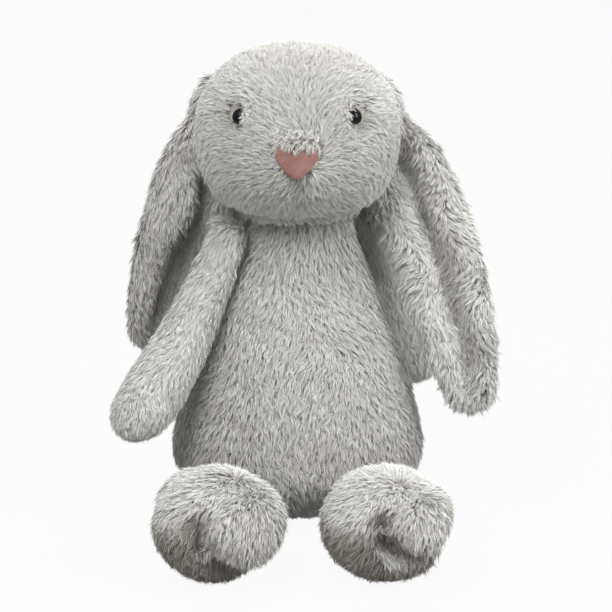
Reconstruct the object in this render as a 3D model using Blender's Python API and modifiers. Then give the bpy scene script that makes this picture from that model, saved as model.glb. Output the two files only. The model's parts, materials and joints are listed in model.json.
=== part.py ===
"""A seated plush rabbit with lop ears.

Sewn plush skins over fibre stuffing, with pellet bags in the seat and the feet, bead eyes held by
washers, and folded ears. Metres, +Z up. The rabbit faces -Y, so its own left side is +X. The origin is the
middle of the flat seat, on the surface that it sits on.
"""

import math
from dataclasses import dataclass

import bmesh
import bpy
from mathutils import Matrix, Vector
from mathutils.bvhtree import BVHTree

# Cloth and fits
SKIN = 0.003  # plush cloth with its pile pressed down
CLEAR = 0.0003  # gap between pieces that touch
UP = Vector((0.0, 0.0, 1.0))
FORWARD = Vector((0.0, -1.0, 0.0))
LEFTWARD = Vector((1.0, 0.0, 0.0))
SIDES = {"left": 1.0, "right": -1.0}

# Torso, a pear that sits on a flat seat
NECK_HEIGHT = 0.207
NECK_WIDTH = 0.066
NECK_DEPTH = 0.062
HIP_LEVEL = 0.035  # height of the widest girth
TORSO_WIDTH = 0.175
TORSO_DEPTH = 0.150
SEAT_WIDTH = 0.096
SEAT_PELLET_LEVEL = 0.030  # the pellet bag fills the torso up to here

# Head, measured from the neck seam
HEAD_HEIGHT = 0.112
CHEEK_LEVEL = 0.052  # height of the widest part
HEAD_WIDTH = 0.137
FACE_DEPTH = 0.063
NAPE_DEPTH = 0.058
HEAD_FORWARD = 0.008
CROWN_POWER = 2.3  # a little squarer than an ellipse
JOWL_POWER = 0.42  # how full the head is below the cheeks, full at 0
MUZZLE_REACH = 0.012
MUZZLE_WIDTH = 0.090
MUZZLE_HEIGHT = 0.060
MUZZLE_LEVEL = 0.035

# Face
EYE_SPACING = 0.073
EYE_LEVEL = 0.0725
EYE_RADIUS = 0.0054
EYE_DOME = 0.0036
SHANK_RADIUS = 0.0016
SHANK_LENGTH = 0.0085
WASHER_RADIUS = 0.0050
WASHER_THICKNESS = 0.0015
NOSE_WIDTH = 0.027
NOSE_HEIGHT = 0.019
NOSE_THICKNESS = 0.0030
NOSE_BULGE = 1.05  # how far its straight sides swell
NOSE_LEVEL = 0.0460

# Arms, each lying on the flank below its sewn shoulder
SHOULDER_DROP = 0.024  # below the neck
ARM_LENGTH = 0.162
ARM_ROOT_WIDTH = 0.034
PAW_WIDTH = 0.051
ARM_ROOT_DEPTH = 0.018
PAW_DEPTH = 0.043
PAW_CURL = 0.009  # how far the paw turns away from the flank
SHOULDER_TURN = {"left": -42.0, "right": 25.0}  # degrees forward of the side seam

# Legs, stretched out in front
HIP_HEIGHT = 0.034
HIP_SPACING = 0.088
LEG_ROOT_WIDTH = 0.052
LEG_ROOT_DEPTH = 0.032
LEG_WIDTH = 0.060
LEG_DEPTH = 0.056
FOOT_WIDTH = 0.083
FOOT_HEIGHT = 0.071
FOOT_REACH = 0.036  # from the middle of the foot to its sole
FOOT_FORWARD = 0.150  # middle of the foot in front of the origin
FOOT_OFFSET = {"left": 0.057, "right": -0.050}
FLAT_CUT = 0.0005  # depth of the flat under each foot
TOE_FOLD_DEPTH = 0.010
TOE_FOLD_WIDTH = 0.012
TOE_FOLD_SPAN = (-0.45, 0.85)  # where the fold starts and ends, in half foot widths from the middle
TOE_FOLD_FADE = 0.5  # over how many half foot widths it fades at each end

# Ears, folded lengthwise, hanging from the back of the head's sides
EAR_ROOT_LEVEL = 0.065
EAR_ROOT_TURN = 42.0  # degrees behind the side seam
EAR_ROOT_RADIUS = 0.013
EAR_WIDTH = 0.060
EAR_TIP_WIDTH = 0.040
EAR_DEPTH = 0.028
EAR_HANG = {"left": 0.182, "right": 0.160}  # from the root down to the middle of the round tip
EAR_SHARES = (0.14, 0.34, 0.60, 0.85, 1.0)  # how far down the ear its key points are
EAR_OUT_SHARES = {  # key points beyond the widest girth, in ear widths
    "left": (-0.12, 0.21, 0.35, 0.39, 0.46),
    "right": (-0.18, 0.02, 0.08, 0.11, 0.20),
}
EAR_BACK_SHARES = {  # key points behind the middle, in torso depths
    "left": (0.27, 0.10, -0.10, -0.19, -0.21),
    "right": (0.28, 0.27, 0.27, 0.28, 0.29),
}
EAR_FOLD = 0.62  # share of the half depth taken by the fold
EAR_FOLD_SPREAD = 22.0  # degrees
LINING_SHARE = 0.55  # how far up the walls of the fold the lining reaches
LINING_SHIFT = 0.0010

# Tail
TAIL_HEIGHT = 0.052
TAIL_RADIUS = 0.025
TAIL_ROOT_RADIUS = 0.016

# Facets
TORSO_SEGMENTS = 20
HEAD_SEGMENTS = 22
ARM_SEGMENTS = 12
LEG_SEGMENTS = 16
EAR_SEGMENTS = 16
TAIL_SEGMENTS = 12
TURNED_STEPS = 16
NOSE_STEPS = 5  # round each corner of the nose


@dataclass
class Ring:
    """One cross-section of a form: an oval in the plane of its side and front directions."""

    centre: Vector
    side: Vector
    front: Vector
    half_width: float
    half_front: float
    half_back: float
    fold: float = 0.0

    def point(self, angle):
        """The point of the oval at an angle from its side direction, drawn in where it is folded."""
        reach = self.half_front if math.sin(angle) > 0.0 else self.half_back
        from_fold = math.degrees(angle) - 90.0
        drawn = 1.0 - self.fold * math.exp(-((from_fold / EAR_FOLD_SPREAD) ** 2))
        across = self.side * (self.half_width * math.cos(angle))
        along = self.front * (reach * math.sin(angle))
        return self.centre + (across + along) * drawn


def clear_scene():
    """Remove what the new file starts with."""
    for thing in list(bpy.data.objects):
        bpy.data.objects.remove(thing, do_unlink=True)


def make_collection(name):
    """A collection linked to the scene."""
    collection = bpy.data.collections.new(name)
    bpy.context.scene.collection.children.link(collection)
    return collection


def make_material(name, colour, roughness):
    """A plain Principled material."""
    material = bpy.data.materials.new(name)
    material.use_nodes = True
    shader = material.node_tree.nodes["Principled BSDF"]
    shader.inputs["Base Color"].default_value = (*colour, 1.0)
    shader.inputs["Roughness"].default_value = roughness
    shader.inputs["Metallic"].default_value = 0.0
    return material


clear_scene()
PARTS = make_collection("stuffed_bunny_rabbit")
CUTTERS = make_collection("cutters")
FUR = make_material("plush", (0.62, 0.57, 0.54), 0.95)
LINING = make_material("ear_lining", (0.55, 0.49, 0.46), 0.95)
FIBRE = make_material("fibre_stuffing", (0.85, 0.85, 0.83), 0.95)
PELLETS = make_material("pellet_bag", (0.80, 0.79, 0.75), 0.90)
BEAD = make_material("eye_bead", (0.01, 0.01, 0.01), 0.15)
WASHER = make_material("eye_washer", (0.75, 0.75, 0.72), 0.50)
SUEDE = make_material("nose_suede", (0.62, 0.36, 0.37), 0.85)


def add_object(name, mesh, material, collection, smooth=True):
    """An object round a mesh."""
    thing = bpy.data.objects.new(name, mesh)
    thing.data.materials.append(material)
    collection.objects.link(thing)
    if smooth:
        thing.data.shade_smooth()
    return thing


def mesh_from(name, bm):
    """A mesh from a copy of what is in bm."""
    mesh = bpy.data.meshes.new(name)
    bm.to_mesh(mesh)
    return mesh


def joint_empty(name, place):
    """An empty on a joint's axis, which the pieces that turn there are parented to."""
    empty = bpy.data.objects.new(name, None)
    empty.location = place
    empty.empty_display_size = 0.02
    PARTS.objects.link(empty)
    return empty


def hang_on(piece, empty):
    """Parent a piece to an empty without moving it."""
    piece.parent = empty
    piece.matrix_parent_inverse = Matrix.Translation(empty.location).inverted()


def loft(rings, tip, segments):
    """An open form through rings, closed at the far end by its tip.

    It starts as a sphere whose circles of latitude become the rings. The pole before the first ring is taken
    out, which leaves the mouth that is sewn to the next piece.
    """
    bm = bmesh.new()
    circles = len(rings) + 1
    bmesh.ops.create_uvsphere(bm, u_segments=segments, v_segments=circles, radius=1.0)
    mouth = []
    for vertex in bm.verts:
        latitude = math.acos(max(-1.0, min(1.0, -vertex.co.z)))
        circle = round(latitude / math.pi * circles)
        if circle == 0:
            mouth.append(vertex)
        elif circle == circles:
            vertex.co = tip
        else:
            vertex.co = rings[circle - 1].point(math.atan2(vertex.co.y, vertex.co.x) % (2.0 * math.pi))
    bmesh.ops.delete(bm, geom=mouth, context="VERTS")
    bmesh.ops.triangulate(bm, faces=bm.faces[:])
    bm.normal_update()
    return bm


def cut_flat(bm, point, normal):
    """Take away what lies beyond a plane, and close the cut."""
    geometry = bm.verts[:] + bm.edges[:] + bm.faces[:]
    cut = bmesh.ops.bisect_plane(
        bm, geom=geometry, dist=1e-7, plane_co=point, plane_no=normal, clear_outer=True
    )
    edges = [item for item in cut["geom_cut"] if isinstance(item, bmesh.types.BMEdge)]
    if edges:
        bmesh.ops.contextual_create(bm, geom=edges)
    bmesh.ops.recalc_face_normals(bm, faces=bm.faces[:])
    bm.normal_update()


def make_skin(name, bm):
    """The sewn skin: the form's surface with the thickness of the cloth, laid inward."""
    skin = add_object(name, mesh_from(name, bm), FUR, PARTS)
    cloth = skin.modifiers.new("cloth", "SOLIDIFY")
    cloth.thickness = SKIN
    cloth.offset = -1.0
    return skin


def offset_form(bm, distance):
    """A closed copy of a form, grown along its normals, or shrunk by a negative distance."""
    copy = bm.copy()
    copy.normal_update()
    moves = [(vertex, vertex.normal * distance) for vertex in copy.verts]
    for vertex, move in moves:
        vertex.co += move
    mouth = [edge for edge in copy.edges if edge.is_boundary]
    bmesh.ops.contextual_create(copy, geom=mouth)
    bmesh.ops.triangulate(copy, faces=copy.faces[:])
    bmesh.ops.recalc_face_normals(copy, faces=copy.faces[:])
    copy.normal_update()
    return copy


def stuffing_form(bm):
    """A closed copy of a form that just fits inside its skin."""
    return offset_form(bm, -SKIN - CLEAR * 2.0)


def make_filling(name, inner, material):
    """A filling piece from a closed form."""
    return add_object(name, mesh_from(name, inner), material, PARTS)


def split_filling(inner, point, normal):
    """Two closed pieces of a filling, either side of a plane, a clearance apart."""
    beyond = inner.copy()
    cut_flat(inner, point - normal * (CLEAR / 2.0), normal)
    cut_flat(beyond, point + normal * (CLEAR / 2.0), -normal)
    return inner, beyond


def seat_on(bm, origin, direction):
    """Where a ray meets a form, with the outward normal of the facet that it meets."""
    place, normal, _, _ = BVHTree.FromBMesh(bm).ray_cast(origin, direction)
    if normal.dot(direction) > 0.0:
        normal = -normal
    return place, normal


def smooth_path(keys, steps):
    """Points along a smooth curve through key points, with the given number of steps between each two."""
    ends = [keys[0] * 2.0 - keys[1]] + list(keys) + [keys[-1] * 2.0 - keys[-2]]
    points = []
    for a, b, c, d in zip(ends, ends[1:], ends[2:], ends[3:]):
        for step in range(steps):
            t = step / steps
            bend = 2.0 * a - 5.0 * b + 4.0 * c - d
            twist = 3.0 * b - a - 3.0 * c + d
            points.append(0.5 * (2.0 * b + (c - a) * t + bend * t**2 + twist * t**3))
    points.append(keys[-1].copy())
    return points


def ease(t):
    """A smooth rise from 0 to 1."""
    t = max(0.0, min(1.0, t))
    return t * t * (3.0 - 2.0 * t)


def mix(a, b, t):
    """Between a and b."""
    return a + (b - a) * t


# Torso
def torso_half(height, neck, girth, seat):
    """Half of the torso's width or depth at a height: a pear from neck to hips, rounded under to the seat."""
    if height >= HIP_LEVEL:
        down = (NECK_HEIGHT - height) / (NECK_HEIGHT - HIP_LEVEL)
        return mix(neck, girth, 0.5 * (down + math.sin(0.5 * math.pi * down))) / 2.0
    under = (HIP_LEVEL - height) / HIP_LEVEL
    return mix(seat, girth, math.sqrt(max(0.0, 1.0 - under**2))) / 2.0


def torso_form():
    """The torso's outer form, with its mouth at the neck."""
    top = NECK_HEIGHT - CLEAR / 2.0
    flank = [mix(top, HIP_LEVEL, step / 7.0) for step in range(8)]
    under = [HIP_LEVEL * (1.0 - math.sin(math.radians(angle))) for angle in (25.0, 48.0, 70.0, 90.0)]
    rings = []
    for height in flank + under:
        half_width = torso_half(height, NECK_WIDTH, TORSO_WIDTH, SEAT_WIDTH)
        half_depth = torso_half(height, NECK_DEPTH, TORSO_DEPTH, SEAT_WIDTH * TORSO_DEPTH / TORSO_WIDTH)
        centre = UP * height
        rings.append(Ring(centre, LEFTWARD, FORWARD, half_width, half_depth, half_depth))
    return loft(rings, Vector((0, 0, 0)), TORSO_SEGMENTS)


def build_torso(bm):
    """Torso skin, fibre stuffing and the pellet bag that weights the seat."""
    make_skin("torso_skin", bm)
    stuffing, pellets = split_filling(stuffing_form(bm), UP * SEAT_PELLET_LEVEL, -UP)
    make_filling("torso_stuffing", stuffing, FIBRE)
    make_filling("seat_pellet_bag", pellets, PELLETS)


# Head
def head_swell(height):
    """How far the head has swelled from the neck (0) to the cheeks (1), and how much is left above them."""
    if height <= CHEEK_LEVEL:
        below = min(1.0, (CHEEK_LEVEL - height) / (CHEEK_LEVEL - CLEAR / 2.0))
        return (1.0 - below**2) ** JOWL_POWER, 1.0
    above = min(1.0, (height - CHEEK_LEVEL) / (HEAD_HEIGHT - CHEEK_LEVEL))
    return 1.0, (1.0 - above**CROWN_POWER) ** (1.0 / CROWN_POWER)


def head_form():
    """The head's outer form, with its mouth at the neck, a muzzle at the front and the face towards -Y."""
    foot = CLEAR / 2.0
    lower = [mix(foot, CHEEK_LEVEL, share) for share in (0.0, 0.08, 0.24, 0.48, 0.74, 1.0)]
    rise = HEAD_HEIGHT - CHEEK_LEVEL
    upper = [CHEEK_LEVEL + rise * math.sin(math.radians(angle)) for angle in (18.0, 36.0, 52.0, 66.0, 79.0)]
    rings = []
    for height in lower + upper:
        swell, left = head_swell(height)
        half_width = mix(NECK_WIDTH, HEAD_WIDTH, swell) / 2.0 * left
        half_front = mix(NECK_DEPTH / 2.0, FACE_DEPTH, swell) * left
        half_back = mix(NECK_DEPTH / 2.0, NAPE_DEPTH, swell) * left
        centre = Vector((0.0, -HEAD_FORWARD * swell, NECK_HEIGHT + height))
        rings.append(Ring(centre, -LEFTWARD, FORWARD, half_width, half_front, half_back))
    bm = loft(rings, Vector((0.0, -HEAD_FORWARD, NECK_HEIGHT + HEAD_HEIGHT)), HEAD_SEGMENTS)
    for vertex in bm.verts:
        if vertex.co.y < -HEAD_FORWARD:
            across = vertex.co.x / (MUZZLE_WIDTH / 2.0)
            over = (vertex.co.z - NECK_HEIGHT - MUZZLE_LEVEL) / (MUZZLE_HEIGHT / 2.0)
            vertex.co.y -= MUZZLE_REACH * math.exp(-(across**2) - over**2)
    bm.normal_update()
    return bm


def turned(name, profile, material, collection):
    """A turned piece from a profile of (radius, height) points that runs down its outer side."""
    bm = bmesh.new()
    points = [bm.verts.new((radius, 0.0, height)) for radius, height in profile]
    for a, b in zip(points, points[1:]):
        bm.edges.new((a, b))
    thing = add_object(name, mesh_from(name, bm), material, collection)
    turn = thing.modifiers.new("turn", "SCREW")
    turn.steps = TURNED_STEPS
    turn.render_steps = TURNED_STEPS
    turn.use_merge_vertices = True
    turn.merge_threshold = 0.00001
    return thing


def aim(thing, place, normal):
    """Stand a turned piece on a place, with its axis along a normal."""
    thing.matrix_world = Matrix.Translation(place) @ normal.to_track_quat("Z", "Y").to_matrix().to_4x4()


def cutter_cylinder(name, radius, low, high):
    """A cutter that drills along its own Z axis."""
    bm = bmesh.new()
    bmesh.ops.create_cone(
        bm, cap_ends=True, segments=TURNED_STEPS, radius1=radius, radius2=radius, depth=high - low
    )
    bmesh.ops.translate(bm, verts=bm.verts[:], vec=UP * ((high + low) / 2.0))
    cutter = add_object(name, mesh_from(name, bm), WASHER, CUTTERS, smooth=False)
    cutter.hide_render = True
    cutter.display_type = "WIRE"
    return cutter


def drill(piece, cutter):
    """Take a cutter's shape out of a piece."""
    cut = piece.modifiers.new(cutter.name, "BOOLEAN")
    cut.operation = "DIFFERENCE"
    cut.solver = "MANIFOLD"
    cut.object = cutter


def build_eye(side, sign, bm, skin, stuffing):
    """A bead eye on the face, its shank through the skin, and the washer that locks it inside."""
    start = Vector((sign * EYE_SPACING / 2.0, -1.0, NECK_HEIGHT + EYE_LEVEL))
    place, normal = seat_on(bm, start, Vector((0, 1, 0)))
    base = CLEAR * 2.0
    dome = [
        (EYE_RADIUS * math.cos(math.radians(angle)), base + EYE_DOME * math.sin(math.radians(angle)))
        for angle in (90.0, 68.0, 45.0, 22.0, 0.0)
    ]
    dome[0] = (0.0, base + EYE_DOME)
    eye = turned(
        f"eye_{side}",
        dome + [(SHANK_RADIUS, base), (SHANK_RADIUS, base - SHANK_LENGTH), (0.0, base - SHANK_LENGTH)],
        BEAD,
        PARTS,
    )
    top = -SKIN - CLEAR * 3.0
    bore = SHANK_RADIUS + CLEAR
    washer = turned(
        f"eye_washer_{side}",
        [
            (bore, top),
            (WASHER_RADIUS, top),
            (WASHER_RADIUS, top - WASHER_THICKNESS),
            (bore, top - WASHER_THICKNESS),
            (bore, top),
        ],
        WASHER,
        PARTS,
    )
    hole = cutter_cylinder(f"eye_hole_{side}", bore, -2.0 * SKIN, SKIN)
    pocket_depth = -SHANK_LENGTH - CLEAR
    pocket = cutter_cylinder(f"eye_pocket_{side}", WASHER_RADIUS + CLEAR * 2.0, pocket_depth, SKIN)
    for thing in (eye, washer, hole, pocket):
        aim(thing, place, normal)
    drill(skin, hole)
    drill(stuffing, pocket)
    return [eye, washer]


def build_nose(head_bm, skin):
    """A padded triangle with round corners, wrapped over the muzzle with its point down."""
    corner = NOSE_HEIGHT * 0.28
    corners = [
        (-NOSE_WIDTH / 2.0 + corner, NOSE_HEIGHT / 2.0 - corner),
        (0.0, -NOSE_HEIGHT / 2.0 + corner),
        (NOSE_WIDTH / 2.0 - corner, NOSE_HEIGHT / 2.0 - corner),
    ]
    starts = (90.0, 216.0, -36.0)
    sweeps = (126.0, 108.0, 126.0)
    bm = bmesh.new()
    arcs = []
    for (x, z), start, sweep in zip(corners, starts, sweeps):
        angles = [math.radians(start + sweep * step / NOSE_STEPS) for step in range(NOSE_STEPS + 1)]
        arcs.append([Vector((x + corner * math.cos(a), 0.0, z + corner * math.sin(a))) for a in angles])
    outline = []
    for arc, following in zip(arcs, arcs[1:] + arcs[:1]):
        outline += arc + [mix(arc[-1], following[0], share) * NOSE_BULGE for share in (0.33, 0.67)]
    shrinks = (1.0, 0.75, 0.5, 0.25)
    loops = [[bm.verts.new(point * shrink) for point in outline] for shrink in shrinks]
    for outer, inner in zip(loops, loops[1:]):
        for index in range(len(outer)):
            following = (index + 1) % len(outer)
            bm.faces.new((outer[index], outer[following], inner[following], inner[index]))
    bmesh.ops.contextual_create(bm, geom=loops[-1])
    bmesh.ops.recalc_face_normals(bm, faces=bm.faces[:])
    bmesh.ops.translate(bm, verts=bm.verts[:], vec=Vector((0.0, -0.2, NECK_HEIGHT + NOSE_LEVEL)))
    nose = add_object("nose", mesh_from("nose", bm), SUEDE, PARTS)
    wrap = nose.modifiers.new("wrap", "SHRINKWRAP")
    wrap.target = skin
    wrap.wrap_method = "PROJECT"
    wrap.use_project_y = True
    wrap.use_positive_direction = True
    wrap.use_negative_direction = False
    wrap.offset = 0.0
    pad = nose.modifiers.new("pad", "SOLIDIFY")
    pad.thickness = NOSE_THICKNESS
    pad.offset = 1.0
    grown_head = mesh_from("muzzle_cutter", offset_form(head_bm, CLEAR))
    muzzle = add_object("muzzle_cutter", grown_head, FUR, CUTTERS)
    muzzle.hide_render = True
    muzzle.display_type = "WIRE"
    drill(nose, muzzle)
    return nose


def build_head(bm, neck):
    """Head skin, stuffing, eyes with their washers, and nose."""
    skin = make_skin("head_skin", bm)
    stuffing = make_filling("head_stuffing", stuffing_form(bm), FIBRE)
    pieces = [skin, stuffing, build_nose(bm, skin)]
    for side, sign in SIDES.items():
        pieces += build_eye(side, sign, bm, skin, stuffing)
    for piece in pieces:
        hang_on(piece, neck)


# Limbs
def rounded_end(ring, direction, reach):
    """The rings and the tip that close a form with half an ovoid beyond its last full ring."""
    rings = []
    for angle in (25.0, 48.0, 70.0):
        share = math.cos(math.radians(angle))
        centre = ring.centre + direction * (reach * math.sin(math.radians(angle)))
        rings.append(
            Ring(
                centre,
                ring.side,
                ring.front,
                ring.half_width * share,
                ring.half_front * share,
                ring.half_back * share,
                ring.fold,
            )
        )
    return rings, ring.centre + direction * reach


def build_arm(side, sign, torso_bm):
    """An arm that lies on the flank: slim at its sewn shoulder, full at the paw, with the paw turned out."""
    turn = math.radians(SHOULDER_TURN[side])
    outward = Vector((sign * math.cos(turn), -math.sin(turn), 0.0))
    start = outward + UP * (NECK_HEIGHT - SHOULDER_DROP)
    place, normal = seat_on(torso_bm, start, -outward)
    ahead = normal.cross(UP).normalized() * -sign
    down = (normal * normal.z - UP).normalized()
    root = ARM_ROOT_WIDTH / 2.0
    rings = []
    steps = 8
    for step in range(steps):
        share = step / (steps - 1)
        swell = ease(share * 1.05)
        half_width = mix(ARM_ROOT_WIDTH, PAW_WIDTH, swell) / 2.0
        half_depth = mix(ARM_ROOT_DEPTH, PAW_DEPTH, swell) / 2.0
        curl = PAW_CURL * max(0.0, share - 0.45) ** 2 / 0.3
        along = mix(-root, ARM_LENGTH - root - PAW_WIDTH / 2.0, share)
        centre = place + normal * (CLEAR + half_depth + curl) + down * along
        rings.append(Ring(centre, ahead, down.cross(ahead), half_width, half_depth, half_depth))
    last = (rings[-1].centre - rings[-2].centre).normalized()
    end, tip = rounded_end(rings[-1], last, PAW_WIDTH / 2.0)
    bm = loft(rings + end, tip, ARM_SEGMENTS)
    shoulder = joint_empty(f"shoulder_{side}", place)
    hang_on(make_skin(f"arm_{side}_skin", bm), shoulder)
    hang_on(make_filling(f"arm_{side}_stuffing", stuffing_form(bm), FIBRE), shoulder)
    report_joint(f"shoulder_{side}", place, normal)


def build_leg(side, sign, torso_bm):
    """A leg from its rounded hip seam to a full foot that stands on its heel, with a fold over the toes."""
    start = Vector((sign * HIP_SPACING / 2.0, -1.0, HIP_HEIGHT))
    place, normal = seat_on(torso_bm, start, Vector((0, 1, 0)))
    normal = Vector((normal.x, normal.y, 0.0)).normalized()
    root = LEG_ROOT_DEPTH / 2.0
    hip = place + normal * (root + CLEAR * 2.0)
    foot = Vector((FOOT_OFFSET[side], -FOOT_FORWARD, FOOT_HEIGHT / 2.0 - FLAT_CUT))
    rings = []
    for angle in (-77.0, -50.0, -20.0):
        share = math.cos(math.radians(angle))
        centre = hip + normal * (root * math.sin(math.radians(angle)))
        half_width = LEG_ROOT_WIDTH / 2.0 * mix(0.72, 1.0, share)
        rings.append(Ring(centre, normal.cross(UP) * -1.0, UP, half_width, root * share, root * share))
    keys = [hip + normal * (root / 2.0), hip + normal * (root * 2.0), mix(hip, foot, 0.62), foot]
    path = smooth_path(keys, 2)
    for index, centre in enumerate(path):
        share = index / (len(path) - 1)
        limb = ease(share / 0.5)
        swell = ease((share - 0.45) / 0.55)
        half_width = mix(mix(LEG_ROOT_WIDTH, LEG_WIDTH, limb), FOOT_WIDTH, swell) / 2.0
        half_depth = mix(mix(LEG_ROOT_DEPTH, LEG_DEPTH, limb), FOOT_HEIGHT, swell) / 2.0
        direction = mix(normal, FORWARD, limb).normalized()
        side_way = UP.cross(direction).normalized()
        rings.append(Ring(centre, side_way, UP, half_width, half_depth, half_depth))
    end, tip = rounded_end(rings[-1], FORWARD, FOOT_REACH)
    bm = loft(rings + end, tip, LEG_SEGMENTS)
    fold_toes(bm, foot)
    cut_flat(bm, Vector((0, 0, 0)), -UP)
    empty = joint_empty(f"hip_{side}", hip)
    hang_on(make_skin(f"leg_{side}_skin", bm), empty)
    ankle = foot + Vector((0.0, FOOT_REACH * 0.6, 0.0))
    stuffing, pellets = split_filling(stuffing_form(bm), ankle, FORWARD)
    hang_on(make_filling(f"leg_{side}_stuffing", stuffing, FIBRE), empty)
    hang_on(make_filling(f"foot_pellet_bag_{side}", pellets, PELLETS), empty)
    report_joint(f"hip_{side}", hip, LEFTWARD)


def fold_toes(bm, foot):
    """Draw in the crease where the toes flop over the sole: it falls from the middle to the left."""
    slope = (LEFTWARD - UP).normalized()
    square = (LEFTWARD + UP).normalized()
    for vertex in bm.verts:
        offset = vertex.co - foot
        if offset.y < -FOOT_REACH * 0.25:
            along = offset.dot(slope) / (FOOT_WIDTH / 2.0)
            aside = offset.dot(square) / TOE_FOLD_WIDTH
            begins, ends = TOE_FOLD_SPAN
            fade = ease((along - begins) / TOE_FOLD_FADE) * ease((ends - along) / TOE_FOLD_FADE)
            depth = TOE_FOLD_DEPTH * math.exp(-(aside**2)) * fade
            vertex.co -= offset.normalized() * depth
    bm.normal_update()


# Ears
def ear_path(side, sign, root):
    """Points along the middle of an ear, from its root to the middle of its round tip."""
    keys = [root]
    for share, out, back in zip(EAR_SHARES, EAR_OUT_SHARES[side], EAR_BACK_SHARES[side]):
        girth = mix(HEAD_WIDTH, TORSO_WIDTH, ease((share - EAR_SHARES[1]) / EAR_SHARES[2]))
        x = sign * (girth / 2.0 + EAR_WIDTH * out)
        keys.append(Vector((x, TORSO_DEPTH * back, root.z - EAR_HANG[side] * share)))
    return smooth_path(keys, 2)


def build_ear(side, sign, head_bm, neck):
    """A soft ear folded lengthwise, with its lining in the fold, on a round root."""
    turn = math.radians(EAR_ROOT_TURN)
    outward = Vector((sign * math.cos(turn), math.sin(turn), 0.0))
    start = Vector((0.0, -HEAD_FORWARD, NECK_HEIGHT + EAR_ROOT_LEVEL)) + outward
    place, normal = seat_on(head_bm, start, -outward)
    root = place + normal * (EAR_ROOT_RADIUS + CLEAR)
    path = ear_path(side, sign, root)
    lengthwise = Vector((outward.y, -outward.x, 0.0))
    lower_side = Vector((0.96, -0.28 * sign, 0.0))
    rings = []
    first = (path[1] - path[0]).normalized()
    for angle in (-70.0, -40.0):
        share = math.cos(math.radians(angle))
        size = EAR_ROOT_RADIUS * share
        centre = root + first * (EAR_ROOT_RADIUS * math.sin(math.radians(angle)))
        rings.append(ear_ring(centre, first, lengthwise, size, size, 0.0))
    for index, centre in enumerate(path):
        share = index / (len(path) - 1)
        before = path[max(0, index - 1)]
        after = path[min(len(path) - 1, index + 1)]
        direction = (after - before).normalized()
        swell = ease(share / 0.36)
        blade = mix(EAR_WIDTH, EAR_TIP_WIDTH, ease((share - 0.6) / 0.4)) / 2.0
        half_width = mix(EAR_ROOT_RADIUS, blade, swell)
        half_depth = mix(EAR_ROOT_RADIUS, EAR_DEPTH / 2.0, ease(share / 0.3))
        fold = EAR_FOLD * ease(share / 0.25)
        across = mix(lengthwise, lower_side, ease(share * 2.0))
        rings.append(ear_ring(centre, direction, across, half_width, half_depth, fold))
    end, tip = rounded_end(rings[-1], (path[-1] - path[-2]).normalized(), EAR_TIP_WIDTH / 2.0)
    bm = loft(rings + end, tip, EAR_SEGMENTS)
    bmesh.ops.contextual_create(bm, geom=[edge for edge in bm.edges if edge.is_boundary])
    bmesh.ops.recalc_face_normals(bm, faces=bm.faces[:])
    empty = joint_empty(f"ear_root_{side}", root)
    empty.parent = neck
    empty.matrix_parent_inverse = Matrix.Translation(neck.location).inverted()
    hang_on(add_object(f"ear_{side}_outer", mesh_from(f"ear_{side}_outer", bm), FUR, PARTS), empty)
    hang_on(build_lining(side, rings[5:] + end[:1]), empty)
    axis = Vector((-normal.y, normal.x, 0.0)).normalized()
    report_joint(f"ear_root_{side}", root, axis * -1.0)


def ear_ring(centre, direction, side, half_width, half_depth, fold):
    """A cross-section of an ear, square to its direction, with its fold towards the front."""
    square = (side - direction * side.dot(direction)).normalized()
    return Ring(centre, square, direction.cross(square), half_width, half_depth, half_depth, fold)


def build_lining(side, rings):
    """The soft panel in an ear's fold, a wedge that follows the fold's two walls."""
    step = 2.0 * math.pi / EAR_SEGMENTS
    bm = bmesh.new()
    sections = []
    for ring in rings:
        bottom = ring.point(math.pi / 2.0)
        shift = ring.front * LINING_SHIFT
        walls = [mix(bottom, ring.point(math.pi / 2.0 + turn), LINING_SHARE) for turn in (-step, step)]
        sections.append([bm.verts.new(point + shift) for point in (bottom, walls[0], walls[1])])
    for before, after in zip(sections, sections[1:]):
        for index in range(3):
            following = (index + 1) % 3
            bm.faces.new((before[index], before[following], after[following], after[index]))
    bm.faces.new(sections[0])
    bm.faces.new(sections[-1])
    bmesh.ops.recalc_face_normals(bm, faces=bm.faces[:])
    return add_object(f"ear_{side}_lining", mesh_from(f"ear_{side}_lining", bm), LINING, PARTS)


# Tail
def build_tail(torso_bm):
    """A round tail sewn to the back by its mouth."""
    place, normal = seat_on(torso_bm, Vector((0.0, 1.0, TAIL_HEIGHT)), Vector((0, -1, 0)))
    normal = Vector((0.0, normal.y, normal.z)).normalized()
    side = UP.cross(normal).normalized()
    front = normal.cross(side)
    mouth = math.degrees(math.acos(TAIL_ROOT_RADIUS / TAIL_RADIUS))
    depth = TAIL_RADIUS * math.sin(math.radians(mouth))
    rings = []
    for angle in (-mouth, -mouth / 2.0, 0.0, 25.0, 48.0, 70.0):
        size = TAIL_RADIUS * math.cos(math.radians(angle))
        centre = place + normal * (CLEAR + depth + TAIL_RADIUS * math.sin(math.radians(angle)))
        rings.append(Ring(centre, side, front, size, size, size))
    bm = loft(rings, place + normal * (CLEAR + depth + TAIL_RADIUS), TAIL_SEGMENTS)
    make_skin("tail_skin", bm)
    make_filling("tail_stuffing", stuffing_form(bm), FIBRE)


def report_joint(name, place, axis):
    """Print where a joint turns."""
    where = ", ".join(f"{value:.5f}" for value in place)
    along = ", ".join(f"{value:.5f}" for value in axis)
    print(f"{name}: at ({where}) about ({along})")


def build_rabbit():
    """Build every piece."""
    torso = torso_form()
    head = head_form()
    build_torso(torso)
    build_tail(torso)
    neck = joint_empty("neck", UP * NECK_HEIGHT)
    report_joint("neck", UP * NECK_HEIGHT, UP)
    build_head(head, neck)
    for side, sign in SIDES.items():
        build_arm(side, sign, torso)
        build_leg(side, sign, torso)
        build_ear(side, sign, head, neck)


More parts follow.
